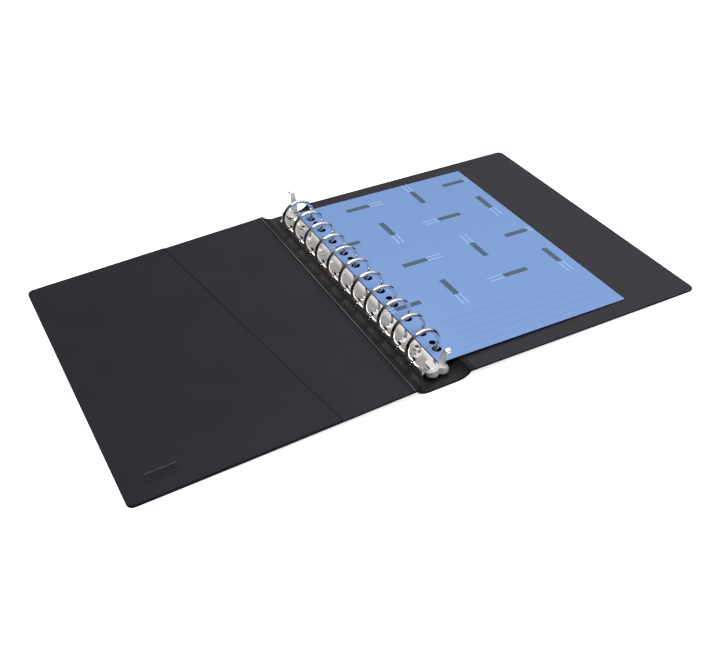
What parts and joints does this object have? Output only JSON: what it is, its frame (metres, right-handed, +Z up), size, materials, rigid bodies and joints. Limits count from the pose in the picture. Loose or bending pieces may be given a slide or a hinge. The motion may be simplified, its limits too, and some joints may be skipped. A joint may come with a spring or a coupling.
{
  "type": "ring binder",
  "caption": "A4 ring binder lying open: two plastic covers hinged to a rounded spine, a steel arch with snap rings and end levers, and a punched index card",
  "frame": {"origin": "middle of the spine's label pocket, on the table", "axes": "+X to the back cover, +Y along the spine to the far end, +Z up"},
  "size_m": [0.5748, 0.334, 0.0394],
  "materials": {
    "board": "black polypropylene with a fine leather grain",
    "pocket_sheet": "black polypropylene sheet, welded round its edge",
    "clear_film": "clear soft film",
    "label_paper": "plain white label",
    "nickel": "nickel plated steel sheet",
    "ring_wire": "nickel plated steel wire",
    "card": null
  },
  "bodies": {
    "spine": {"spine": "board", "spine_pocket": "clear_film", "spine_label": "label_paper", "arch_plate": "nickel", "eyelets": "nickel", "eyelet_sleeves": "nickel", "near_lever_pin": "nickel", "far_lever_pin": "nickel"},
    "front_cover": {"front_cover": "board", "inner_pocket": "pocket_sheet"},
    "back_cover": {"back_cover": "board"},
    "left_rings": {"left_blade": "nickel", "left_ring_01": "ring_wire", "left_ring_02": "ring_wire", "left_ring_03": "ring_wire", "left_ring_04": "ring_wire", "left_ring_05": "ring_wire", "left_ring_06": "ring_wire", "left_ring_07": "ring_wire", "left_ring_08": "ring_wire", "left_ring_09": "ring_wire", "left_ring_10": "ring_wire", "left_ring_11": "ring_wire"},
    "right_rings": {"right_blade": "nickel", "right_ring_01": "ring_wire", "right_ring_02": "ring_wire", "right_ring_03": "ring_wire", "right_ring_04": "ring_wire", "right_ring_05": "ring_wire", "right_ring_06": "ring_wire", "right_ring_07": "ring_wire", "right_ring_08": "ring_wire", "right_ring_09": "ring_wire", "right_ring_10": "ring_wire", "right_ring_11": "ring_wire"},
    "near_lever": {"near_lever": "nickel"},
    "far_lever": {"far_lever": "nickel"},
    "card": {"index_card": "card"}
  },
  "joints": [
    {"name": "front_cover_hinge", "type": "hinge", "parent": "spine", "child": "front_cover", "pos_m": [-0.0275, 0, 0.0075], "axis": [0, 1, 0], "range_deg": [0, 91.43]},
    {"name": "back_cover_hinge", "type": "hinge", "parent": "spine", "child": "back_cover", "pos_m": [0.0275, 0, 0.0075], "axis": [0, -1, 0], "range_deg": [0, 91.43]},
    {"name": "right_rings", "type": "hinge", "parent": "spine", "child": "right_rings", "pos_m": [0.0113, 0, 0.0066], "axis": [0, 1, 0], "range_deg": [0, 12]},
    {"name": "left_rings", "type": "hinge", "parent": "spine", "child": "left_rings", "pos_m": [-0.0113, 0, 0.0066], "axis": [0, -1, 0], "range_deg": [0, 12]},
    {"name": "near_lever", "type": "hinge", "parent": "spine", "child": "near_lever", "pos_m": [0, -0.1495, 0.0075], "axis": [1, 0, 0], "range_deg": [0, 20]},
    {"name": "far_lever", "type": "hinge", "parent": "spine", "child": "far_lever", "pos_m": [0, 0.1495, 0.0075], "axis": [-1, 0, 0], "range_deg": [0, 20]},
    {"name": "card_turn", "type": "hinge", "parent": "spine", "child": "card", "pos_m": [-0.001, 0, 0.021], "axis": [0, -1, 0], "range_deg": [0, 91.43]}
  ],
  "couplings": [
    {"joint": "left_rings", "follows": "right_rings", "ratio": 1},
    {"joint": "near_lever", "follows": "right_rings", "ratio": 1.66},
    {"joint": "far_lever", "follows": "right_rings", "ratio": 1.66},
    {"joint": "card_turn", "follows": "back_cover_hinge", "ratio": 1}
  ]
}
